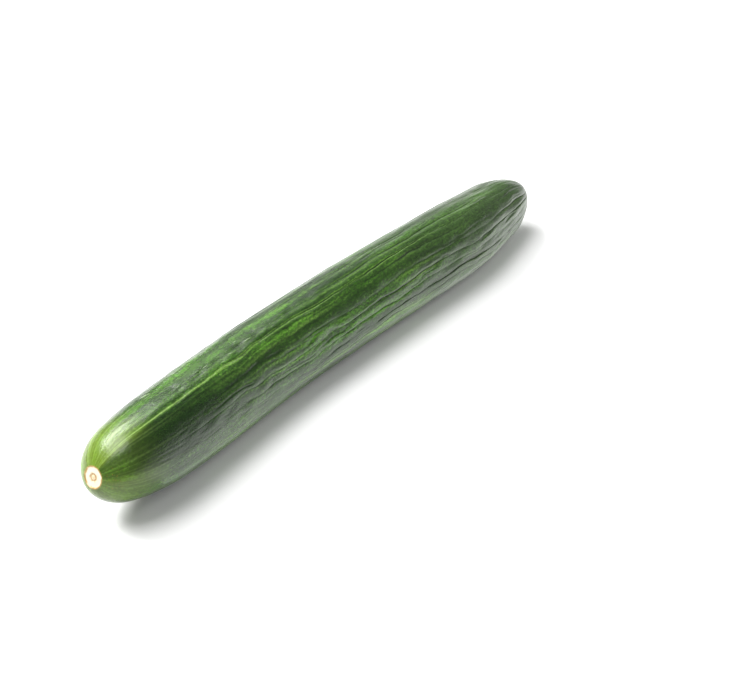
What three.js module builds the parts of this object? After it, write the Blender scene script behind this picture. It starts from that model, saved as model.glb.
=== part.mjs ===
// Long greenhouse cucumber lying on its side, one solid. Millimetres, +Z up.
// +X runs along the fruit from the blossom end to the stem end, and the flat rest is at z = 0.
import * as THREE from "three";

// Overall size
const LENGTH = 346; // along the centreline, between the two tips of the body
const RADIUS = 21.75; // nominal radius of the body
const FLAT_DEPTH = 0.6; // how far the underside is flattened where it lies

// Radius over RADIUS, and sideways offset of the centreline, at shares of the length
const GIRTH = [
  [0, 1.185], [0.06, 1.02], [0.12, 0.995], [0.25, 1.011], [0.4, 1.004], [0.55, 1.006],
  [0.7, 0.982], [0.8, 0.96], [0.88, 0.87], [0.94, 0.78], [1, 0.7],
];
const COURSE = [
  [0, -0.12], [0.08, 0.1], [0.2, 3.13], [0.35, 5.48], [0.5, 3.84],
  [0.65, 1.01], [0.8, -2.03], [0.92, 0.19], [1, 0],
];
const LYING_FROM = 0.12; // the underside is straight between these shares of the length
const LYING_TO = 0.9;
const LYING_EASE = 0.05; // half the share over which it then eases upwards
const TIP_RISE = 9.62; // how far the blossom tip curls up
const TIP_RISE_LENGTH = 125;
const TIP_TILT = 0.2; // extra upward lean of the blossom scar and the skin round it
const TIP_TILT_LENGTH = 35;
const STEM_TILT = 0.3; // downward lean of the stem stub and the skin round it
const STEM_TILT_LENGTH = 40;

// Rounded ends: the length each taper takes and how full it is
const BLOSSOM_TAPER = 90.7;
const BLOSSOM_FULLNESS = 4.74;
const STEM_TAPER = 32.8;
const STEM_FULLNESS = 2.2;

// Lengthwise ridges with a narrow crease between each two
const RIDGES = 24;
const COLUMNS_PER_RIDGE = 4;
const RIDGE_DEPTH = 0.5;
const CREASE_SHARPNESS = 0.7; // below 1 makes the creases narrow and the crests broad
const RIDGE_START = 12; // the skin is smooth up to here from the blossom tip
const RIDGE_FULL = 95;
const RIDGE_STEM_FADE = 22;
const LOBES = 5; // broad angles of the body
const LOBE_HEIGHT = 0.4;
const LOBE_TURN = 0.49; // one lobe's crest, radians from the top
const LOBE_FADE = 40;
const UNDERSIDE_SMOOTH = 0.35; // radians each side of the bottom with no ridges
const UNDERSIDE_FADE = 0.85;

// Rings of vertices along the fruit, from the blossom scar's rim to the stem stub's foot
const END_RINGS = [0.95, 1.7, 2.8, 4.4, 6.6, 9.4, 12.8, 17, 22, 27.5];
const BODY_RINGS = 39;
const STEM_RINGS = [27.5, 22, 17, 12.8, 9.4, 6.4, 3.8, 2, 0.9];

// Blossom scar, from its rim in to its centre: distance from the tip along the axis, radius
const SCAR = [
  [0.78, 5.0], [1.12, 4.7], [1.1, 3.1], [0.98, 2.2], [1.3, 1.6], [1.05, 0.8],
];
const SCAR_CENTRE = 1.0;

// Cut stem stub in its shallow dimple, from its foot to the middle of its cut face: distance past the end, radius
const STUB = [
  [-1.35, 3.4], [-1.3, 2.8], [0.2, 2.65], [0.9, 2.8], [1.15, 2.6], [1.05, 1.5], [0.88, 0.7],
];
const STUB_CENTRE = 0.92;

const COLUMNS = RIDGES * COLUMNS_PER_RIDGE;
const FULL_TURN = 2 * Math.PI;

const clamp01 = (x) => Math.min(1, Math.max(0, x));
const smooth = (x) => clamp01(x) ** 2 * (3 - 2 * clamp01(x));

// A smooth curve through a table of [x, y] points
function curve(table, x) {
  const last = table.length - 1;
  const slope = (i) => {
    const [x0, y0] = table[Math.max(0, i - 1)];
    const [x1, y1] = table[Math.min(last, i + 1)];
    return (y1 - y0) / (x1 - x0);
  };
  let i = 0;
  while (i < last - 1 && x > table[i + 1][0]) i += 1;
  const [x0, y0] = table[i];
  const [x1, y1] = table[i + 1];
  const step = x1 - x0;
  const t = clamp01((x - x0) / step);
  const rise = t * t * (3 - 2 * t);
  const out = t * (1 - t) * (1 - t) * step * slope(i);
  const back = t * t * (t - 1) * step * slope(i + 1);
  return y0 + (y1 - y0) * rise + out + back;
}

// Radius of the body at a distance from the blossom tip, with both ends rounded off
function bodyRadius(s) {
  const blossom = 1 - clamp01(1 - s / BLOSSOM_TAPER) ** BLOSSOM_FULLNESS;
  const stem = 1 - clamp01(1 - (LENGTH - s) / STEM_TAPER) ** STEM_FULLNESS;
  return RADIUS * curve(GIRTH, s / LENGTH) * Math.sqrt(blossom * stem);
}

function centre(s) {
  const share = s / LENGTH;
  const past = clamp01((share - LYING_TO + LYING_EASE) / (2 * LYING_EASE));
  const eased = Math.min(share, LYING_TO + LYING_EASE) - LYING_EASE * past * past;
  const lying = Math.max(LYING_FROM, eased);
  const curl = TIP_RISE * clamp01(1 - s / TIP_RISE_LENGTH) ** 2;
  const height = RADIUS * curve(GIRTH, lying) - FLAT_DEPTH + curl;
  return new THREE.Vector3(s, curve(COURSE, share), height);
}

// Centre and axes of the cross-section at s. Past the ends it slides on along the last direction.
function section(s) {
  const inside = Math.min(LENGTH, Math.max(0, s));
  const a = Math.max(0, inside - 0.5);
  const b = Math.min(LENGTH, inside + 0.5);
  const along = centre(b).sub(centre(a)).normalize();
  along.z -= TIP_TILT * clamp01(1 - inside / TIP_TILT_LENGTH) ** 2;
  along.z -= STEM_TILT * clamp01(1 - (LENGTH - inside) / STEM_TILT_LENGTH) ** 2;
  along.normalize();
  const up = new THREE.Vector3(0, 0, 1).addScaledVector(along, -along.z).normalize();
  const side = new THREE.Vector3().crossVectors(along, up);
  return { at: centre(inside).addScaledVector(along, s - inside), up, side };
}

// The columns follow the ridges, which are unevenly wide and wander a little along the fruit
function columnAngle(turn, s) {
  const uneven =
    0.085 * Math.sin(2 * turn + 0.7) +
    0.04 * Math.sin(5 * turn + 2.1) +
    0.03 * Math.sin(9 * turn + 0.5);
  const wander =
    0.02 * Math.sin(turn + s / 23 + 0.4) +
    0.015 * Math.sin(3 * turn - s / 13 + 1.3) +
    0.012 * Math.sin(7 * turn + s / 8.5);
  return turn + uneven + wander * smooth(s / RIDGE_FULL);
}

// Height of the skin over the plain body
function relief(turn, angle, s) {
  const ends = smooth((s - RIDGE_START) / (RIDGE_FULL - RIDGE_START));
  const stem = smooth((LENGTH - s) / RIDGE_STEM_FADE);
  const depth = 0.72 + 0.28 * Math.sin(4 * turn - s / 31 + 0.9) * Math.cos(3 * turn + s / 47);
  const crest = Math.abs(Math.sin((RIDGES / 2) * turn)) ** CREASE_SHARPNESS - 0.75;
  const turned = ((angle % FULL_TURN) + FULL_TURN) % FULL_TURN;
  const fromBottom = Math.abs(turned - Math.PI);
  const upper = smooth((fromBottom - UNDERSIDE_SMOOTH) / UNDERSIDE_FADE);
  const lobeEnds = smooth(s / LOBE_FADE) * smooth((LENGTH - s) / LOBE_FADE);
  const lobe = LOBE_HEIGHT * Math.cos(LOBES * (angle - LOBE_TURN)) * lobeEnds;
  return upper * (RIDGE_DEPTH * depth * crest * ends * stem + lobe);
}

const vertices = [];
const triangles = [];

// Adds one ring of points and returns the indices of its points
function addRing(s, radius, count, ridged) {
  const { at, up, side } = section(s);
  const ring = [];
  for (let k = 0; k < count; k += 1) {
    const turn = (FULL_TURN * k) / count;
    const angle = columnAngle(turn, Math.max(0, s));
    const r = radius + (ridged ? relief(turn, angle, s) : 0);
    const p = at
      .clone()
      .addScaledVector(up, r * Math.cos(angle))
      .addScaledVector(side, r * Math.sin(angle));
    ring.push(vertices.length);
    vertices.push([p.x, p.y, Math.max(0, p.z)]);
  }
  return ring;
}

function addPoint(s) {
  const { at } = section(s);
  vertices.push([at.x, at.y, at.z]);
  return vertices.length - 1;
}

// Joins two rings, the second further along. The finer ring has a whole multiple of points.
function join(first, second) {
  const n = Math.max(first.length, second.length);
  const nearest = (ring, i) => ring[Math.round((i * ring.length) / n) % ring.length];
  for (let i = 0; i < n; i += 1) {
    const a = nearest(first, i);
    const b = nearest(first, i + 1);
    const c = nearest(second, i);
    const d = nearest(second, i + 1);
    if (a !== b) triangles.push(a, b, c);
    if (c !== d) triangles.push(b, d, c);
  }
}

// Blossom scar and body
const blossomCentre = addPoint(SCAR_CENTRE);
const scarRings = SCAR.slice()
  .reverse()
  .map(([s, r]) => addRing(s, r, RIDGES, false));
scarRings[0].forEach((p, k) => {
  triangles.push(blossomCentre, scarRings[0][(k + 1) % RIDGES], p);
});
const bodyStart = END_RINGS[END_RINGS.length - 1];
const bodyEnd = LENGTH - STEM_RINGS[0];
const along = END_RINGS.slice();
for (let i = 1; i <= BODY_RINGS; i += 1) {
  along.push(bodyStart + ((bodyEnd - bodyStart) * i) / BODY_RINGS);
}
STEM_RINGS.slice(1).forEach((e) => along.push(LENGTH - e));
const bodyRings = along.map((s) => addRing(s, bodyRadius(s), COLUMNS, true));

// Stem stub
const stubRings = STUB.map(([past, r]) => addRing(LENGTH + past, r, RIDGES, false));
const rings = [...scarRings, ...bodyRings, ...stubRings];
for (let i = 1; i < rings.length; i += 1) join(rings[i - 1], rings[i]);
const cut = stubRings[stubRings.length - 1];
const cutCentre = addPoint(LENGTH + STUB_CENTRE);
cut.forEach((p, k) => triangles.push(p, cut[(k + 1) % RIDGES], cutCentre));

// The origin goes to the middle of the footprint
const geometry = new THREE.BufferGeometry();
geometry.setAttribute("position", new THREE.Float32BufferAttribute(vertices.flat(), 3));
geometry.setIndex(triangles);
geometry.computeBoundingBox();
const middle = geometry.boundingBox.getCenter(new THREE.Vector3());

const skin = new THREE.MeshStandardMaterial({ color: 0x2f5a1c, roughness: 0.35, metalness: 0 });
const cucumber = new THREE.Mesh(geometry, skin);
cucumber.name = "cucumber";
cucumber.position.set(-middle.x, -middle.y, 0);

const part = new THREE.Group();
part.add(cucumber);
export default part;
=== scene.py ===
"""The cucumber's finished look: skin, ridges, blossom scar and stem stub, on a plain pale floor."""

import math

import bpy
import numpy as np
from mathutils import Matrix, Vector


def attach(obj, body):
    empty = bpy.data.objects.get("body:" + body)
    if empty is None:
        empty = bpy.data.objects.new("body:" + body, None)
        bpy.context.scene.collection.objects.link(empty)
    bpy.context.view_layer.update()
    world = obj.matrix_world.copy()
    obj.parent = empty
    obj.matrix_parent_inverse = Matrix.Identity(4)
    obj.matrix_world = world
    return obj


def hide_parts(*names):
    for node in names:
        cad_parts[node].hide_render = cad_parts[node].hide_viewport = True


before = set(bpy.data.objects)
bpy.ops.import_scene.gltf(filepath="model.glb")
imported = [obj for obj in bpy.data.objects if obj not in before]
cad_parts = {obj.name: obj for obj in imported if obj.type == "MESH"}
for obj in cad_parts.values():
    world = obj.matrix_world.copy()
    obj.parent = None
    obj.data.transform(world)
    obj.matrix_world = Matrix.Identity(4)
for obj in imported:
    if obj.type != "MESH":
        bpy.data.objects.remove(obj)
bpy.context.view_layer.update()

MM = 0.001
FULL_TURN = 2 * math.pi

# Body of the fruit, in millimetres: the same dimensions as the solid
LENGTH = 346
RADIUS = 21.75
FLAT_DEPTH = 0.6
GIRTH = [
    (0, 1.185), (0.06, 1.02), (0.12, 0.995), (0.25, 1.011), (0.4, 1.004), (0.55, 1.006),
    (0.7, 0.982), (0.8, 0.96), (0.88, 0.87), (0.94, 0.78), (1, 0.7),
]
COURSE = [
    (0, -0.12), (0.08, 0.1), (0.2, 3.13), (0.35, 5.48), (0.5, 3.84),
    (0.65, 1.01), (0.8, -2.03), (0.92, 0.19), (1, 0),
]
LYING_FROM = 0.12
LYING_TO = 0.9
LYING_EASE = 0.05
TIP_RISE = 9.62
TIP_RISE_LENGTH = 125
TIP_TILT = 0.2
TIP_TILT_LENGTH = 35
STEM_TILT = 0.3
STEM_TILT_LENGTH = 40
BLOSSOM_TAPER = 90.7
BLOSSOM_FULLNESS = 4.74
STEM_TAPER = 32.8
STEM_FULLNESS = 2.2

# Ridges, also as in the solid. A wave has its size, waves round the fruit, length along it and phase.
RIDGES = 24
RIDGE_DEPTH = 0.5
CREASE_SHARPNESS = 0.7
CREST_MEAN = 0.75
RIDGE_START = 12
RIDGE_FULL = 95
RIDGE_STEM_FADE = 22
RIDGE_UNEVEN = [(0.085, 2, 0.7), (0.04, 5, 2.1), (0.03, 9, 0.5)]
RIDGE_WANDER = [(0.02, 1, 23, 0.4), (0.015, 3, -13, 1.3), (0.012, 7, 8.5, 0)]
DEPTH_MEAN = 0.72
DEPTH_SWING = 0.28
DEPTH_WAVE = (4, -31, 0.9)
DEPTH_CROSS_WAVE = (3, 47, 0)
LOBES = 5
LOBE_HEIGHT = 0.4
LOBE_TURN = 0.49
LOBE_FADE = 40
UNDERSIDE_SMOOTH = 0.35
UNDERSIDE_FADE = 0.85

# Scar and stub profiles: distance along the axis, radius
SCAR_CENTRE = 1.0
SCAR = [
    (1.0, 0.4), (1.05, 0.8), (1.16, 1.15), (1.3, 1.6), (1.2, 1.9), (0.98, 2.2), (1.02, 2.6),
    (1.1, 3.1), (1.12, 3.7), (1.14, 4.3), (1.12, 4.7), (0.95, 4.85), (0.8, 5.0), (0.84, 5.12),
]
STUB = [
    (-1.2, 3.75), (-1.35, 3.4), (-1.38, 3.0), (-1.3, 2.8), (-0.6, 2.68), (0.2, 2.65), (0.6, 2.7),
    (0.9, 2.8), (1.05, 2.75), (1.15, 2.6), (1.13, 2.1), (1.05, 1.5), (0.94, 1.1), (0.88, 0.7),
]
STUB_CENTRE = 0.92

# What moves the middle of the footprint to the origin
SHIFT_X = -173.477
SHIFT_Y = -1.898

# Random fields: cells round the fruit, millimetres along it, layers of detail
QUICK_FIELD = (11, 8, 2)
SLOW_FIELD = (5, 40, 1)
STRENGTH_FIELD = (13, 46, 2)
FLICKER_FIELD = (24, 15, 2)
PATCH_FIELD = (9, 38, 2)
BRAID_FIELD = (34, 11, 2)
LUMP_FIELD = (38, 6, 2)
PIT_FIELD = (56, 8, 2)
TONE_FIELD = (11, 150, 2)
STREAK_FIELD = (60, 40, 2)
STRIPE_FIELD = (84, 130, 1)
PALE_FIELD = (17, 36, 2)
WANDER_SEED = 3
SKIN_SEED = 7
CREASE_SEED = 12
THREAD_SEED = 21

# Edges of the zones of the skin: a place, and the width over which the zone comes in or dies out.
# Those called edges lie round the fruit, in radians from the top to the front. The starts and ends
# lie along it, in millimetres from the blossom tip.
TOP_EDGES = ((-1.6, 0.5), (0.2, 0.6))
LOW_EDGE = (1.15, 0.4)
LOW_END = (240, 80)
EVEN_EDGES = ((0.3, 0.2), (1.3, 0.3))
EVEN_END = (150, 70)
BROAD_START = (150, 60)
WANDER_START = (20, 80)
FINE_START = (14, 34)
# Painted shade: the band that faces the camera is painted darker where the lighting leaves it dark,
# most near the blossom tip, and past the near part the lower side a little
PAINTED_SHADE_FROM = 0.36
PAINTED_SHADE_TO = 1.58
PAINTED_SHADE_EDGES = ((PAINTED_SHADE_FROM, 0.2), (PAINTED_SHADE_TO, 0.4))
PAINTED_SHADE_START = (7, 12)
DEEPEST_PAINTED_SHADE_END = (75, 45)
PAINTED_SHADE_THINS = (150, 70)
NEAR_END = (140, 80)
FAR_START = (200, 70)
# Painted light: the upper side, where the window light falls, is painted lighter towards the blossom
# tip
PAINTED_LIGHT_EDGES = ((-0.95, 0.7), (0.42, 0.25))
PAINTED_LIGHT_END = (235, 110)
STRIPE_START = (90, 90)
FLANK_EDGE = (0.1, 0.3)
YELLOW_END = (34, 32)
YELLOW_LOW_EDGE = (1.2, 0.5)
FLECK_END = (8, 5)
FLECK_EDGES = ((0.7, 0.3), (2.1, 0.4))
SCUFF_START = (22, 20)
SCUFF_END = (170, 60)
SCUFF_EDGES = ((-1, 0.3), (0.3, 0.2))

# Relief finer than the solid's, in millimetres
QUICK_TURN = 0.14
SLOW_TURN = 0.04
FLICKER_LEAST = 0.35
STRENGTH_LEAST = 0.45
STRENGTH_GAIN = 0.9
DEEP_CREASE = (0.3, 0.35)
GROOVE_DEPTH = 0.22
GROOVE_WIDTH = 0.13
GROOVE_BROADER = 0.09
LUMP_HEIGHT = 1.2
WRINKLE_DEPTH = 0.2
WRINKLE_WIDTH = 0.055
WRINKLED = (0.3, 0.5)
PIT_DEPTH = 0.3
PITTED = (0.7, 0.25)
THIN_DEPTH = 0.18

# How much of the relief each zone takes away
TOP_CALM = 0.65
LOW_CALM = 0.45
EVEN_CALM = 0.5
THIN_LOW_CALM = 0.5

# Painted shade: dark lines drawn along the creases
CREASE_SHADE_WIDTH = 0.22
CREASE_SHADE_BROADER = 0.13
CREASE_SHADE_FAINTEST = 0.08
WRINKLE_SHADE_LINE = 0.6
THIN_SHADE_LINE = 0.9

# Thin creases, also drawn dark with painted shade: turn, start and end of those that show most, and
# how the others are strewn
CREASES = [
    (0.9, 58, 98), (0.62, 100, 168), (0.82, 112, 172),
    (0.5, 178, 250), (0.3, 150, 215), (0.7, 215, 300),
]
MORE_CREASES = 30
MORE_CREASES_SHIFT = 0.4
MORE_CREASES_START = (70, 270)
MORE_CREASES_LENGTH = (22, 80)
THIN_WIDTH = 0.024
THIN_FADE = 12
THIN_SHARES = (0.6, 1)
WIGGLE = 0.03
WIGGLE_LENGTH = 7.5
RIPPLE = 0.008
RIPPLE_LENGTH = 3.5

# Pale threads round the blossom scar: the strongest, and how the others vary
MAIN_THREAD = 0.262
MAIN_THREAD_SHARE = 0.95
MAIN_THREAD_WIDTH = 0.024
MAIN_THREAD_END = (118, 60)
THREADS = 44
THREAD_SHIFT = 0.35
THREAD_WIDTHS = (0.014, 0.034)
THREAD_REACHES = (16, 62)
THREAD_SHARES = (0.3, 1.0)
THREAD_FADE = 0.8
THREAD_SHARE_IN_PAINTED_SHADE = 0.25
THREAD_SHARE_LOW = 0.3

# Tone of the green, from dark at 0 to light at 1, with the painted shade and painted light that go
# into it
STREAK_SHARE = 0.8
TONE_SHARE = 0.85
TONE_FAR_EVEN = 0.35
TONE_FAR_LOSS = 0.2
STRIPE_SHARE = 0.45
# Painted shade on the band facing the camera: how deep it is, deepest near the tip, and how it
# reaches over the lower side and thins
PAINTED_SHADE_SHARE = 0.45
DEEPEST_PAINTED_SHADE_SHARE = 0.3
PAINTED_SHADE_BEYOND = 0.42
PAINTED_SHADE_THINNED = 0.7
# Painted light on the upper side
PAINTED_LIGHT_SHARE = 0.36

# Pale flanks of the ridges: share, place across the ridge and width
FLANKS = [(1.0, 0.2, 0.1), (0.8, 0.86, 0.06)]
FLANK_PATCHES = (0.3, 0.5)
# What the pale flanks lose under the painted shade
FLANK_PAINTED_SHADE_LOSS = 0.8
FLANK_BACK_SHARE = 0.45

# Yellow round the scar: what it loses in the band of painted shade and low down
YELLOW_PAINTED_SHADE_LOSS = 0.75
YELLOW_LOW_LOSS = 0.4

# Colours of the skin, as sRGB codes, and in the ramps the place of each
GREENS = [(0.02, "122807"), (0.45, "274016"), (0.75, "436a20"), (1.0, "5a8a30")]
GRAIN_GREEN = "8fa85a"
SPECK_GREEN = "5f8238"
FLANK_GREEN = "6c923e"
THREAD_GREEN = "86a35a"
# Dark green of the painted shade in the creases
CREASE_SHADE_GREEN = "0f2208"
TIP_YELLOW = "7c962c"
FLECK_BROWN = "80682c"
SCUFF_PALE = "a6b894"
FAR_GREEN = "36472a"
STUB_GREEN = "7f9852"
SCAR_RINGS = [
    (0.0, "d9cfb4"), (0.05, "c9ac80"), (0.09, "d9cdb0"), (0.12, "cdb68f"), (0.155, "946d38"),
    (0.19, "c8b088"), (0.24, "d8d1bb"), (0.44, "dad4c0"), (0.485, "c7a468"), (0.515, "977a3c"),
]
SCAR_RADIUS_UNIT = 10

# Patterns in the skin: how drawn out along the fruit, how fine, and layers and roughness of detail
GRAIN = (0.6, 1100.0, 3.0, 0.65)
CLOUD = (0.3, 150.0, 3.0, 0.6)
SPECK = (0.5, 900.0, 2.0, 0.5)
SPOT = (1.0, 1300.0, 2.0, 0.5)
RAGGED_RIM = (1.0, 520.0, 2.0, 0.5)
SCUFF_SLANT = 0.9
SCUFF_STRETCH = 8.0
SCUFF_SCALE = 150.0

# What the patterns give: from and to of the pattern, and the shares at both
GRAIN_TO_SHADE = (0.38, 0.62, -0.05, 0.05)
GRAIN_TO_GREEN = (0.35, 0.7, 0.0, 0.75)
GRAIN_TO_DEPTH = (0.38, 0.62, 0.7, 1.3)
SPECK_TO_GREEN = (0.52, 0.74, 0.0, 0.3)
TONE_TO_SPECK = (0.1, 0.5, 0.2, 1.0)
SPOT_TO_FLECK = (0.6, 0.68, 0.0, 1.0)
STREAK_TO_SCUFF = (0.69, 0.74, 0.0, 0.4)
ALONG_TO_FAR = (0.52, 0.9, 0.0, 0.6)
ALONG_TO_DEPTH = (0.0, 0.2, 0.35, 1.0)
ALONG_TO_ROUGH = (0.0, 0.35, 0.2, 0.24)
CLOUD_SHARE = 0.5
FLANK_SHARE = 0.5
THREAD_SHARE = 0.75
CREASE_SHADE_SHARE = 0.85
YELLOW_SHARE = 0.45
FLECK_SHARE = 0.5
RAGGED_SHARE = 0.2
CLOUD_ROUGHNESS = 0.1
SCAR_ROUGHNESS = 0.3
SKIN_SPECULAR = 0.42
GRAIN_BUMP = 0.00012
CLOUD_BUMP = 0.0004

# The mesh: steps at an end are its start, its end, the first step and how the steps grow
COLUMNS = 456
BODY_STEP = 2.0
END_ZONE = 24
BLOSSOM_STEPS = (0.95, END_ZONE, 0.22, 1.16)
STEM_STEPS = (0.9, END_ZONE, 0.35, 1.2)
UV_MARGIN = 0.004
UV_SCAR_SHARE = 0.05
UV_STUB_SHARE = 0.04

# Camera: where the blossom tip lies from it, and how the fruit is turned to its picture plane
FOCAL_PIXELS = 1650
PICTURE_WIDTH = 750
SENSOR_WIDTH = 36.0
CLIP_START = 0.01
TIP_FROM_CAMERA = (-124.166, -63.918, -727.648)
TIP_HEIGHT = 21.15
AXIS_DEPTH_TURN = math.radians(41)
AXIS_PICTURE_TURN = math.radians(37.222)

# Lights, in metres: name, place, size, radiance, what it faces and whether the skin mirrors it
MIDDLE = (0, 0, 0)
LIGHTS = [
    ("Window", (-0.07, 0.66, 0.81), (0.9, 0.36), 17.0, MIDDLE, True),
    ("Pane", (0.32, 0.54, 0.6), (0.28, 0.3), 4.0, MIDDLE, True),
    ("Overhead", (-0.35, 0.25, 1.1), (0.9, 0.9), 6.8, MIDDLE, True),
    ("Card", (0.55, -0.6, 0.11), (0.8, 0.22), 1.5, MIDDLE, True),
    ("Low card", (0.085, -0.134, 0.0015), (0.45, 0.232), 0.8, (0.085, -0.134, 1), True),
    ("Fill", (0.2, -1.2, 1.3), (1.5, 1.0), 1.8, MIDDLE, False),
    ("Back card", (0.88, 0.73, 0.24), (0.56, 0.4), 0.75, MIDDLE, True),
]
WORLD_STRENGTH = 0.25
FLOOR_SIZE = 8
FLOOR_GREY = 0.86


def smooth(x):
    x = np.clip(x, 0, 1)
    return x * x * (3 - 2 * x)


def rising(x, place, width):
    """0 up to a place, then up to 1 over a width."""
    return smooth((x - place) / width)


def falling(x, place, width):
    """1, then down to 0 over the width before a place."""
    return smooth((place - x) / width)


def between(x, start, stop):
    """1 between two edges and 0 outside them."""
    return rising(x, *start) * falling(x, *stop)


def wrap(angle):
    """An angle brought to between minus and plus half a turn."""
    return (angle + math.pi) % FULL_TURN - math.pi


def bell(x, width):
    return np.exp(-((x / width) ** 2))


def curve(table, x):
    """A smooth curve through a table of (x, y) points."""
    xs = np.array([p[0] for p in table], float)
    ys = np.array([p[1] for p in table], float)
    last = len(xs) - 1
    before = np.maximum(np.arange(last + 1) - 1, 0)
    after = np.minimum(np.arange(last + 1) + 1, last)
    slope = (ys[after] - ys[before]) / (xs[after] - xs[before])
    i = np.clip(np.searchsorted(xs, x, side="right") - 1, 0, last - 1)
    step = xs[i + 1] - xs[i]
    t = np.clip((x - xs[i]) / step, 0, 1)
    rise = t * t * (3 - 2 * t)
    out = t * (1 - t) * (1 - t) * step * slope[i]
    back = t * t * (t - 1) * step * slope[i + 1]
    return ys[i] + (ys[i + 1] - ys[i]) * rise + out + back


def body_radius(s):
    """Radius of the body, with both ends rounded off."""
    blossom = 1 - np.clip(1 - s / BLOSSOM_TAPER, 0, 1) ** BLOSSOM_FULLNESS
    stem = 1 - np.clip(1 - (LENGTH - s) / STEM_TAPER, 0, 1) ** STEM_FULLNESS
    return RADIUS * curve(GIRTH, s / LENGTH) * np.sqrt(np.maximum(blossom * stem, 0))


def centre(s):
    share = s / LENGTH
    past = np.clip((share - LYING_TO + LYING_EASE) / (2 * LYING_EASE), 0, 1)
    eased = np.minimum(share, LYING_TO + LYING_EASE) - LYING_EASE * past * past
    lying = np.maximum(LYING_FROM, eased)
    curl = TIP_RISE * np.clip(1 - s / TIP_RISE_LENGTH, 0, 1) ** 2
    height = RADIUS * curve(GIRTH, lying) - FLAT_DEPTH + curl
    return np.stack([s, curve(COURSE, share), height], -1)


def unit(v):
    return v / np.linalg.norm(v, axis=-1, keepdims=True)


def section(s):
    """Centre, up and side of the cross-sections at s. Past the ends they slide on straight."""
    inside = np.clip(s, 0, LENGTH)
    a = np.maximum(0, inside - 0.5)
    b = np.minimum(LENGTH, inside + 0.5)
    along = unit(centre(b) - centre(a))
    along[:, 2] -= TIP_TILT * np.clip(1 - inside / TIP_TILT_LENGTH, 0, 1) ** 2
    along[:, 2] -= STEM_TILT * np.clip(1 - (LENGTH - inside) / STEM_TILT_LENGTH, 0, 1) ** 2
    along = unit(along)
    up = unit(np.array([0, 0, 1.0]) - along * along[:, 2:3])
    side = np.cross(along, up)
    return centre(inside) + along * (s - inside)[:, None], up, side


def winding(turn, s, waves, length, phase):
    """Angle of a wave that winds round the fruit and along it."""
    return waves * turn + s / length + phase


def column_angle(turn, s):
    """The columns follow the ridges, which are unevenly wide and wander along the fruit."""
    uneven = sum(size * np.sin(waves * turn + phase) for size, waves, phase in RIDGE_UNEVEN)
    wander = sum(size * np.sin(winding(turn, s, *wave)) for size, *wave in RIDGE_WANDER)
    return turn + uneven + wander * smooth(s / RIDGE_FULL)


def noise(rng, turn, s, cells, step, octaves):
    """Smooth random field in 0..1, closed round the fruit: cells round it, step mm along it."""
    total = np.zeros(turn.shape)
    weight = 0
    for octave in range(octaves):
        n = cells * 2**octave
        size = step / 2**octave
        rows = int(LENGTH / size) + 6
        grid = rng.random((rows, n))
        u = (turn / FULL_TURN * n) % n
        v = np.clip(s / size + 2, 1, rows - 3)
        iu = np.floor(u).astype(int)
        iv = np.floor(v).astype(int)
        fu = u - iu
        fv = v - iv
        value = 0
        for dv, wv in enumerate(spline_weights(fv)):
            row = 0
            for du, wu in enumerate(spline_weights(fu)):
                row = row + wu * grid[iv + dv - 1, (iu + du - 1) % n]
            value = value + wv * row
        total = total + value / 2**octave
        weight += 1 / 2**octave
    return total / weight


def spline_weights(f):
    """Shares of four neighbouring grid points in a smooth field."""
    return (
        (1 - f) ** 3 / 6,
        (3 * f**3 - 6 * f**2 + 4) / 6,
        (-3 * f**3 + 3 * f**2 + 3 * f + 1) / 6,
        f**3 / 6,
    )


def stretch(field):
    """Spreads a noise field evenly over 0..1."""
    low, high = np.percentile(field, (2, 98))
    return np.clip((field - low) / (high - low), 0, 1)


def fine_wander(turn, s):
    """Small quick turns of the ridges, on top of the slow ones."""
    rng = np.random.default_rng(WANDER_SEED)
    quick = noise(rng, turn, s, *QUICK_FIELD) - 0.5
    slow = noise(rng, turn, s, *SLOW_FIELD) - 0.5
    return (QUICK_TURN * quick + SLOW_TURN * slow) * rising(s, *WANDER_START)


def pale_threads(turn, s):
    """Thin pale lines that run out from the blossom scar. One is long and strong."""
    rng = np.random.default_rng(THREAD_SEED)
    main = bell(turn - MAIN_THREAD, MAIN_THREAD_WIDTH)
    total = MAIN_THREAD_SHARE * main * falling(s, *MAIN_THREAD_END)
    for k in range(THREADS):
        at = FULL_TURN * (k + rng.uniform(-THREAD_SHIFT, THREAD_SHIFT)) / THREADS
        width = rng.uniform(*THREAD_WIDTHS)
        reach = rng.uniform(*THREAD_REACHES)
        share = rng.uniform(*THREAD_SHARES)
        if PAINTED_SHADE_FROM < at < PAINTED_SHADE_TO:
            share *= THREAD_SHARE_IN_PAINTED_SHADE
        elif PAINTED_SHADE_TO < at < math.pi:
            share *= THREAD_SHARE_LOW
        line = share * bell(wrap(turn - at), width) * falling(s, reach, THREAD_FADE * reach)
        total = np.maximum(total, line)
    return total


def thin_creases(turn, s):
    """Thin wavy creases of uneven length, some at set places and the rest strewn round the fruit."""
    rng = np.random.default_rng(CREASE_SEED)
    places = list(CREASES)
    for k in range(MORE_CREASES):
        shift = rng.uniform(-MORE_CREASES_SHIFT, MORE_CREASES_SHIFT)
        start = rng.uniform(*MORE_CREASES_START)
        stop = start + rng.uniform(*MORE_CREASES_LENGTH)
        places.append((FULL_TURN * (k + shift) / MORE_CREASES, start, stop))
    total = np.zeros(turn.shape)
    for at, start, stop in places:
        phase = rng.uniform(0, FULL_TURN)
        wiggle = WIGGLE * np.sin(s / WIGGLE_LENGTH + phase)
        wiggle = wiggle + RIPPLE * np.sin(s / RIPPLE_LENGTH + 2 * phase)
        share = between(s, (start, THIN_FADE), (stop, THIN_FADE)) * rng.uniform(*THIN_SHARES)
        total = np.maximum(total, share * bell(wrap(turn - at - wiggle), THIN_WIDTH))
    return total


def ridge_ends(s):
    return rising(s, RIDGE_START, RIDGE_FULL - RIDGE_START)


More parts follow.
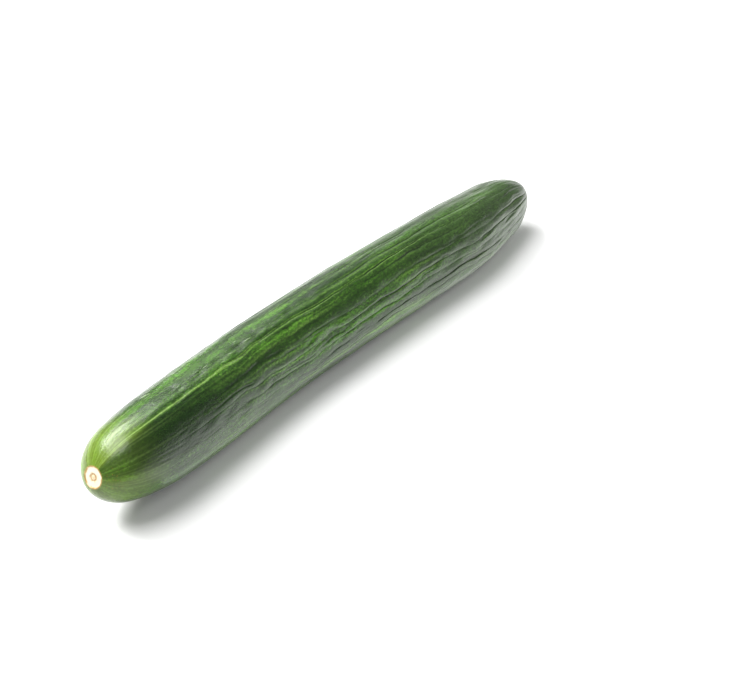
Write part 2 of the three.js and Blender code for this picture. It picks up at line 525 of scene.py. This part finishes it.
def relief(rng, turn, angle, s):
    """Height of the skin over the plain body, and a mask of the painted shade drawn dark along its
    creases.
    """
    aside = wrap(angle)
    ends = ridge_ends(s)
    stem = falling(s, LENGTH, RIDGE_STEM_FADE)
    from_bottom = np.abs((angle % FULL_TURN) - math.pi)
    upper = rising(from_bottom, UNDERSIDE_SMOOTH, UNDERSIDE_FADE)
    low = rising(aside, *LOW_EDGE) * falling(s, *LOW_END)
    broad = rising(s, *BROAD_START)

    # Zones where the skin is calmer
    calm = 1 - TOP_CALM * between(aside, *TOP_EDGES)
    calm = calm * (1 - LOW_CALM * low)
    calm = calm * (1 - EVEN_CALM * between(aside, *EVEN_EDGES) * falling(s, *EVEN_END))

    # Main ridges, stronger in some places than in others, and the lobes under them
    strength = stretch(noise(rng, turn, s, *STRENGTH_FIELD))
    flicker = stretch(noise(rng, turn, s, *FLICKER_FIELD))
    strength = strength * (FLICKER_LEAST + (1 - FLICKER_LEAST) * flicker)
    swing = np.sin(winding(turn, s, *DEPTH_WAVE)) * np.cos(winding(turn, s, *DEPTH_CROSS_WAVE))
    depth = (DEPTH_MEAN + DEPTH_SWING * swing) * (STRENGTH_LEAST + STRENGTH_GAIN * strength)
    wave = np.abs(np.sin(RIDGES / 2 * turn))
    ridge = RIDGE_DEPTH * depth * (wave**CREASE_SHARPNESS - CREST_MEAN)
    deep = rising(strength, *DEEP_CREASE)
    groove = bell(wave, GROOVE_WIDTH + GROOVE_BROADER * broad) * deep
    lobe_ends = rising(s, 0, LOBE_FADE) * falling(s, LENGTH, LOBE_FADE)
    lobe = LOBE_HEIGHT * np.cos(LOBES * (angle - LOBE_TURN)) * lobe_ends
    height = upper * (calm * (ridge - GROOVE_DEPTH * groove) * ends * stem + lobe)

    # Fine wrinkles that braid, merge and end between the main creases, with lumps and pits
    fine = rising(s, *FINE_START) * stem
    patch = stretch(noise(rng, turn, s, *PATCH_FIELD))
    braid = noise(rng, turn, s, *BRAID_FIELD)
    line = np.clip(1 - np.abs(braid - 0.5) / WRINKLE_WIDTH, 0, 1)
    wrinkle = line * rising(patch, *WRINKLED) * fine
    lump = (noise(rng, turn, s, *LUMP_FIELD) - 0.5) * fine
    pit = rising(stretch(noise(rng, turn, s, *PIT_FIELD)), *PITTED) * fine
    rough = LUMP_HEIGHT * lump - WRINKLE_DEPTH * wrinkle - PIT_DEPTH * pit
    thin = thin_creases(turn, s) * stem
    height = height + upper * calm * rough
    height = height - upper * THIN_DEPTH * thin * (1 - THIN_LOW_CALM * low)

    # Painted shade: dark lines along the creases, the wrinkles and the thin creases
    painted_crease_shade = np.clip(1 - wave / (CREASE_SHADE_WIDTH + CREASE_SHADE_BROADER * broad), 0, 1)
    painted_crease_shade = painted_crease_shade * (CREASE_SHADE_FAINTEST + (1 - CREASE_SHADE_FAINTEST) * deep)
    painted_crease_shade = painted_crease_shade * ends * stem * (1 - LOW_CALM * low)
    return height, np.clip(painted_crease_shade + WRINKLE_SHADE_LINE * wrinkle + THIN_SHADE_LINE * thin, 0, 1)


def colour_masks(rng, turn, angle, s):
    """Masks of the skin's other colours. Their tone also holds painted shade and painted light."""
    aside = wrap(angle)
    # Painted shade: the band facing the camera is darkened, and past the near part the whole lower
    # side a little
    dark_start, dark_stop = PAINTED_SHADE_EDGES
    below = rising(aside, *dark_start)
    facing = below * falling(aside, *dark_stop)
    near = falling(s, *NEAR_END)
    far = rising(s, *FAR_START)
    beyond = PAINTED_SHADE_BEYOND * below * (1 - near) * (1 - PAINTED_SHADE_THINNED * rising(s, *PAINTED_SHADE_THINS))
    painted_shade = rising(s, *PAINTED_SHADE_START) * (facing * near + beyond)
    # Painted light: the upper side, lit by the window light, is lightened
    light = between(aside, *PAINTED_LIGHT_EDGES) * falling(s, *PAINTED_LIGHT_END)

    # Tone of the green: broad bands, fine streaks, and stripes from the middle on, then painted shade
    # on the band facing the camera and painted light on the upper side
    bands = noise(rng, turn, s, *TONE_FIELD)
    streaks = noise(rng, turn, s, *STREAK_FIELD)
    tone = stretch(bands + STREAK_SHARE * streaks)
    stripe = stretch(noise(rng, turn, s, *STRIPE_FIELD)) - 0.5
    tone = (0.5 + (tone - 0.5) * (1 - TONE_FAR_EVEN * far)) * (1 - TONE_FAR_LOSS * far)
    tone = tone + STRIPE_SHARE * stripe * rising(s, *STRIPE_START)
    painted_shade_depth = PAINTED_SHADE_SHARE + DEEPEST_PAINTED_SHADE_SHARE * falling(s, *DEEPEST_PAINTED_SHADE_END)
    tone = TONE_SHARE * tone - painted_shade_depth * painted_shade + PAINTED_LIGHT_SHARE * light

    # Pale flanks of the ridges
    across = (RIDGES / FULL_TURN * turn) % 1
    flank = sum(share * bell(across - at, width) for share, at, width in FLANKS)
    pale = rising(stretch(noise(rng, turn, s, *PALE_FIELD)), *FLANK_PATCHES)
    edge = np.clip(flank * pale, 0, 1) * ridge_ends(s) * (1 - FLANK_PAINTED_SHADE_LOSS * painted_shade)
    edge = edge * (FLANK_BACK_SHARE + (1 - FLANK_BACK_SHARE) * rising(aside, *FLANK_EDGE))

    yellow = falling(s, *YELLOW_END) * (1 - YELLOW_PAINTED_SHADE_LOSS * facing)
    return {
        "tone": np.clip(tone, 0, 1 - TONE_FAR_LOSS * far),
        "edge": edge,
        "vein": pale_threads(turn, s),
        "yellow": yellow * (1 - YELLOW_LOW_LOSS * rising(aside, *YELLOW_LOW_EDGE)),
        "fleck": falling(s, *FLECK_END) * between(aside, *FLECK_EDGES),
        "mark": between(s, SCUFF_START, SCUFF_END) * between(aside, *SCUFF_EDGES),
    }


def end_steps(start, stop, first, growth):
    """Distances from start to stop whose steps grow."""
    out = [start]
    step = first
    while out[-1] + step < stop:
        out.append(out[-1] + step)
        step *= growth
    out.append(stop)
    return out


def ring_layout():
    """Distance along the fruit and radius of each ring of the mesh."""
    near = end_steps(*BLOSSOM_STEPS)
    far = end_steps(*STEM_STEPS)
    count = int((LENGTH - 2 * END_ZONE) / BODY_STEP)
    middle = np.linspace(END_ZONE, LENGTH - END_ZONE, count)
    body = near[:-1] + list(middle) + [LENGTH - e for e in far[::-1][1:]]
    s = np.array([p[0] for p in SCAR] + body + [LENGTH + p[0] for p in STUB])
    ends = [p[1] for p in SCAR], [p[1] for p in STUB]
    return s, np.concatenate([ends[0], body_radius(np.array(body)), ends[1]])


def build_vertices(s, radius, angle, height):
    """Points of all rings, then the centres of the scar and of the stub's cut face."""
    at, up, side = section(s)
    r = radius[:, None] + height
    points = (
        at[:, None]
        + up[:, None] * (r * np.cos(angle))[..., None]
        + side[:, None] * (r * np.sin(angle))[..., None]
    )
    points[..., 2] = np.maximum(points[..., 2], 0)
    centres, _, _ = section(np.array([SCAR_CENTRE, LENGTH + STUB_CENTRE]))
    return np.concatenate([points.reshape(-1, 3), centres]) + (SHIFT_X, SHIFT_Y, 0)


def build_faces(rings):
    """Four-cornered faces between the rings, and a fan of triangles at each end."""
    index = np.arange(rings * COLUMNS).reshape(rings, COLUMNS)
    following = np.roll(index, -1, 1)
    quads = np.stack([index[:-1], following[:-1], following[1:], index[1:]], -1)
    faces = quads.reshape(-1, 4).tolist()
    start, end = rings * COLUMNS, rings * COLUMNS + 1
    faces += [[start, int(b), int(a)] for a, b in zip(index[0], following[0])]
    faces += [[int(a), int(b), end] for a, b in zip(index[-1], following[-1])]
    return faces


def add_map(mesh, s):
    """Columns across the map. Along it the scar and the stub get more room than their length."""
    rings = len(s)
    rows = np.interp(
        np.arange(rings),
        [0, len(SCAR), rings - len(STUB) - 1, rings - 1],
        [UV_MARGIN, UV_SCAR_SHARE, 1 - UV_STUB_SHARE, 1 - UV_MARGIN],
    )
    body = slice(len(SCAR), rings - len(STUB))
    inner = s[body]
    rows[body] = np.interp(inner, [inner[0], inner[-1]], [UV_SCAR_SHARE, 1 - UV_STUB_SHARE])
    u0 = np.tile(np.arange(COLUMNS), rings - 1) / COLUMNS
    u1 = u0 + 1 / COLUMNS
    v0 = np.repeat(rows[:-1], COLUMNS)
    v1 = np.repeat(rows[1:], COLUMNS)
    quads = np.stack([u0, v0, u1, v0, u1, v1, u0, v1], -1).reshape(-1, 2)
    left = np.arange(COLUMNS) / COLUMNS
    right = left + 1 / COLUMNS
    middle = (left + right) / 2
    zero = np.zeros(COLUMNS)
    first = zero + rows[0]
    last = zero + rows[-1]
    start = np.stack([middle, zero, right, first, left, first], -1).reshape(-1, 2)
    end = np.stack([left, last, right, last, middle, zero + 1], -1).reshape(-1, 2)
    layer = mesh.uv_layers.new(name="OFBake")
    layer.data.foreach_set("uv", np.concatenate([quads, start, end]).astype(np.float32).ravel())


def add_mask(mesh, name, values, ends=(0, 0)):
    """A value for each point of the rings, and one for the centre at each end."""
    full = np.concatenate([values.ravel(), ends])
    attribute = mesh.attributes.new(name, "FLOAT", "POINT")
    attribute.data.foreach_set("value", full.astype(np.float32))


def build_cucumber():
    s, radius = ring_layout()
    rings = len(s)
    is_scar = np.arange(rings) < len(SCAR)
    is_stub = np.arange(rings) >= rings - len(STUB)

    turn = np.linspace(0, FULL_TURN, COLUMNS + 1)[None, :-1]
    turn, inside = np.broadcast_arrays(turn, np.clip(s, 0, LENGTH)[:, None])
    angle = column_angle(turn, inside) + fine_wander(turn, inside)
    rng = np.random.default_rng(SKIN_SEED)
    height, painted_crease_shade = relief(rng, turn, angle, inside)
    masks = {"painted_crease_shade": painted_crease_shade, **colour_masks(rng, turn, angle, inside)}
    height[is_scar | is_stub] = 0

    mesh = bpy.data.meshes.new("Cucumber")
    vertices = build_vertices(s, radius, angle, height)
    mesh.from_pydata((vertices * MM).tolist(), [], build_faces(rings))
    mesh.shade_smooth()
    add_map(mesh, s)
    for name, values in masks.items():
        add_mask(mesh, name, values)
    add_mask(mesh, "along", np.repeat(s / LENGTH, COLUMNS), (0, 1))
    add_mask(mesh, "across", np.repeat(radius / SCAR_RADIUS_UNIT, COLUMNS))
    add_mask(mesh, "scar", np.repeat(is_scar, COLUMNS), (1, 0))
    add_mask(mesh, "stub", np.repeat(is_stub, COLUMNS), (0, 1))

    piece = bpy.data.objects.new("Cucumber", mesh)
    bpy.context.scene.collection.objects.link(piece)
    mesh.materials.append(skin_material())
    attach(piece, "root")
    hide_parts("cucumber")


def linear(code):
    """An sRGB colour code as linear red, green, blue and alpha."""
    out = []
    for i in (0, 2, 4):
        c = int(code[i:i + 2], 16) / 255
        out.append(c / 12.92 if c <= 0.04045 else ((c + 0.055) / 1.055) ** 2.4)
    return (*out, 1.0)


class Nodes:
    """Short ways to add the shader nodes that the materials use."""

    def __init__(self, material):
        material.use_nodes = True
        self.tree = material.node_tree
        self.shader = self.tree.nodes["Principled BSDF"]

    def put(self, socket, value):
        if isinstance(value, bpy.types.NodeSocket):
            self.tree.links.new(value, socket)
        else:
            socket.default_value = value

    def attribute(self, name):
        node = self.tree.nodes.new("ShaderNodeAttribute")
        node.attribute_name = name
        return node.outputs["Fac"]

    def math(self, kind, a, b):
        node = self.tree.nodes.new("ShaderNodeMath")
        node.operation = kind
        self.put(node.inputs[0], a)
        self.put(node.inputs[1], b)
        return node.outputs[0]

    def plus(self, a, b):
        return self.math("ADD", a, b)

    def times(self, a, b):
        return self.math("MULTIPLY", a, b)

    def span(self, value, low, high, to_low, to_high):
        node = self.tree.nodes.new("ShaderNodeMapRange")
        node.interpolation_type = "SMOOTHSTEP"
        self.put(node.inputs["Value"], value)
        self.put(node.inputs["From Min"], low)
        self.put(node.inputs["From Max"], high)
        self.put(node.inputs["To Min"], to_low)
        self.put(node.inputs["To Max"], to_high)
        return node.outputs["Result"]

    def mix(self, share, a, b, blend="MIX"):
        node = self.tree.nodes.new("ShaderNodeMix")
        node.data_type = "RGBA"
        node.blend_type = blend
        self.put(node.inputs[0], share)
        self.put(node.inputs[6], a)
        self.put(node.inputs[7], b)
        return node.outputs[2]

    def ramp(self, value, stops):
        node = self.tree.nodes.new("ShaderNodeValToRGB")
        self.put(node.inputs[0], value)
        elements = node.color_ramp.elements
        while len(elements) < len(stops):
            elements.new(0.5)
        for element, (place, code) in zip(elements, stops):
            element.position = place
            element.color = linear(code)
        return node.outputs["Color"]

    def coordinates(self, scale, angle=0.0):
        """Object coordinates, turned level by an angle and scaled."""
        source = self.tree.nodes.new("ShaderNodeTexCoord")
        node = self.tree.nodes.new("ShaderNodeMapping")
        self.put(node.inputs["Vector"], source.outputs["Object"])
        self.put(node.inputs["Rotation"], (0.0, 0.0, angle))
        self.put(node.inputs["Scale"], scale)
        return node.outputs["Vector"]

    def noise(self, vector, scale, detail, roughness):
        node = self.tree.nodes.new("ShaderNodeTexNoise")
        self.put(node.inputs["Vector"], vector)
        self.put(node.inputs["Scale"], scale)
        self.put(node.inputs["Detail"], detail)
        self.put(node.inputs["Roughness"], roughness)
        return node.outputs["Fac"]

    def pattern(self, along, scale, detail, roughness):
        """A random pattern, drawn out along the fruit."""
        return self.noise(self.coordinates((along, 1.0, 1.0)), scale, detail, roughness)

    def bump(self, height, distance, normal=None):
        node = self.tree.nodes.new("ShaderNodeBump")
        self.put(node.inputs["Height"], height)
        self.put(node.inputs["Distance"], distance)
        self.put(node.inputs["Strength"], 1.0)
        if normal is not None:
            self.put(node.inputs["Normal"], normal)
        return node.outputs["Normal"]


def skin_green(n, grain, cloud, along):
    """The green of the skin: its tones, painted shade and painted light among them, with each marking
    laid over the ones before, the painted shade of the creases too.
    """
    tone = n.attribute("tone")
    shade = n.plus(tone, n.times(n.math("SUBTRACT", cloud, 0.5), CLOUD_SHARE))
    shade = n.plus(shade, n.span(grain, *GRAIN_TO_SHADE))
    green = n.ramp(shade, GREENS)
    green = n.mix(n.span(grain, *GRAIN_TO_GREEN), green, linear(GRAIN_GREEN), "SOFT_LIGHT")

    speck = n.times(n.span(n.pattern(*SPECK), *SPECK_TO_GREEN), n.span(tone, *TONE_TO_SPECK))
    fleck = n.times(n.span(n.pattern(*SPOT), *SPOT_TO_FLECK), n.attribute("fleck"))
    slanted = n.coordinates((1.0, SCUFF_STRETCH, 1.0), SCUFF_SLANT)
    scuff = n.span(n.noise(slanted, SCUFF_SCALE, 1.0, 0.5), *STREAK_TO_SCUFF)
    for share, code in (
        (speck, SPECK_GREEN),
        (n.times(n.attribute("edge"), FLANK_SHARE), FLANK_GREEN),
        (n.times(n.attribute("vein"), THREAD_SHARE), THREAD_GREEN),
        # Painted shade: dark green along the creases
        (n.times(n.attribute("painted_crease_shade"), CREASE_SHADE_SHARE), CREASE_SHADE_GREEN),
        (n.times(n.attribute("yellow"), YELLOW_SHARE), TIP_YELLOW),
        (n.times(fleck, FLECK_SHARE), FLECK_BROWN),
        (n.times(scuff, n.attribute("mark")), SCUFF_PALE),
        (n.span(along, *ALONG_TO_FAR), FAR_GREEN),
    ):
        green = n.mix(share, green, linear(code))

    grained = n.mix(1.0, green, n.span(grain, *GRAIN_TO_DEPTH), "MULTIPLY")
    return n.mix(n.span(along, *ALONG_TO_DEPTH), green, grained)


def skin_material():
    material = bpy.data.materials.new("Skin")
    n = Nodes(material)
    along = n.attribute("along")
    scar = n.attribute("scar")
    grain = n.pattern(*GRAIN)
    cloud = n.pattern(*CLOUD)

    ragged = n.times(n.math("SUBTRACT", n.pattern(*RAGGED_RIM), 0.5), RAGGED_SHARE)
    cream = n.ramp(n.plus(n.attribute("across"), ragged), SCAR_RINGS)
    colour = n.mix(scar, skin_green(n, grain, cloud, along), cream)
    colour = n.mix(n.attribute("stub"), colour, linear(STUB_GREEN))
    n.put(n.shader.inputs["Base Color"], colour)

    rough = n.plus(n.span(along, *ALONG_TO_ROUGH), n.times(cloud, CLOUD_ROUGHNESS))
    rough = n.plus(rough, n.times(scar, SCAR_ROUGHNESS))
    n.put(n.shader.inputs["Roughness"], rough)
    n.put(n.shader.inputs["Specular IOR Level"], SKIN_SPECULAR)
    n.put(n.shader.inputs["Normal"], n.bump(cloud, CLOUD_BUMP, n.bump(grain, GRAIN_BUMP)))
    return material


def build_floor():
    bpy.ops.mesh.primitive_plane_add(size=FLOOR_SIZE)
    floor = bpy.context.object
    floor.name = "Floor"
    material = bpy.data.materials.new("Floor")
    n = Nodes(material)
    n.put(n.shader.inputs["Base Color"], (FLOOR_GREY, FLOOR_GREY, FLOOR_GREY, 1))
    n.put(n.shader.inputs["Roughness"], 1.0)
    n.put(n.shader.inputs["Specular IOR Level"], 0.0)
    floor.data.materials.append(material)


def add_light(name, at, size, radiance, aim, reflected):
    """A soft rectangle of light that faces the aim."""
    data = bpy.data.lights.new(name, "AREA")
    data.shape = "RECTANGLE"
    data.size, data.size_y = size
    data.energy = radiance * math.pi * size[0] * size[1]
    light = bpy.data.objects.new(name, data)
    light.location = at
    light.rotation_euler = (Vector(at) - Vector(aim)).to_track_quat("Z", "Y").to_euler()
    light.visible_camera = False
    light.visible_glossy = reflected
    bpy.context.scene.collection.objects.link(light)


def build_light():
    world = bpy.data.worlds.new("World")
    world.use_nodes = True
    background = world.node_tree.nodes["Background"]
    background.inputs["Color"].default_value = (1, 1, 1, 1)
    background.inputs["Strength"].default_value = WORLD_STRENGTH
    bpy.context.scene.world = world
    for light in LIGHTS:
        add_light(*light)
    bpy.context.scene.view_settings.view_transform = "Standard"


def build_camera():
    c, s = math.cos(AXIS_DEPTH_TURN), math.sin(AXIS_DEPTH_TURN)
    axis = Vector((c * math.cos(AXIS_PICTURE_TURN), c * math.sin(AXIS_PICTURE_TURN), -s))
    up = Vector((0, -axis.z, axis.y)).normalized()
    side = up.cross(axis)
    tip = Vector(TIP_FROM_CAMERA)
    rows = (axis, side, up)
    place = Vector((SHIFT_X, SHIFT_Y, TIP_HEIGHT)) - Vector([row.dot(tip) for row in rows])
    turn = Matrix([tuple(row) for row in rows])
    data = bpy.data.cameras.new("Camera")
    data.sensor_width = SENSOR_WIDTH
    data.lens = FOCAL_PIXELS * SENSOR_WIDTH / PICTURE_WIDTH
    data.clip_start = CLIP_START
    camera = bpy.data.objects.new("Camera", data)
    camera.matrix_world = Matrix.Translation(place * MM) @ turn.to_4x4()
    bpy.context.scene.collection.objects.link(camera)
    bpy.context.scene.camera = camera


build_cucumber()
build_floor()
build_light()
build_camera()
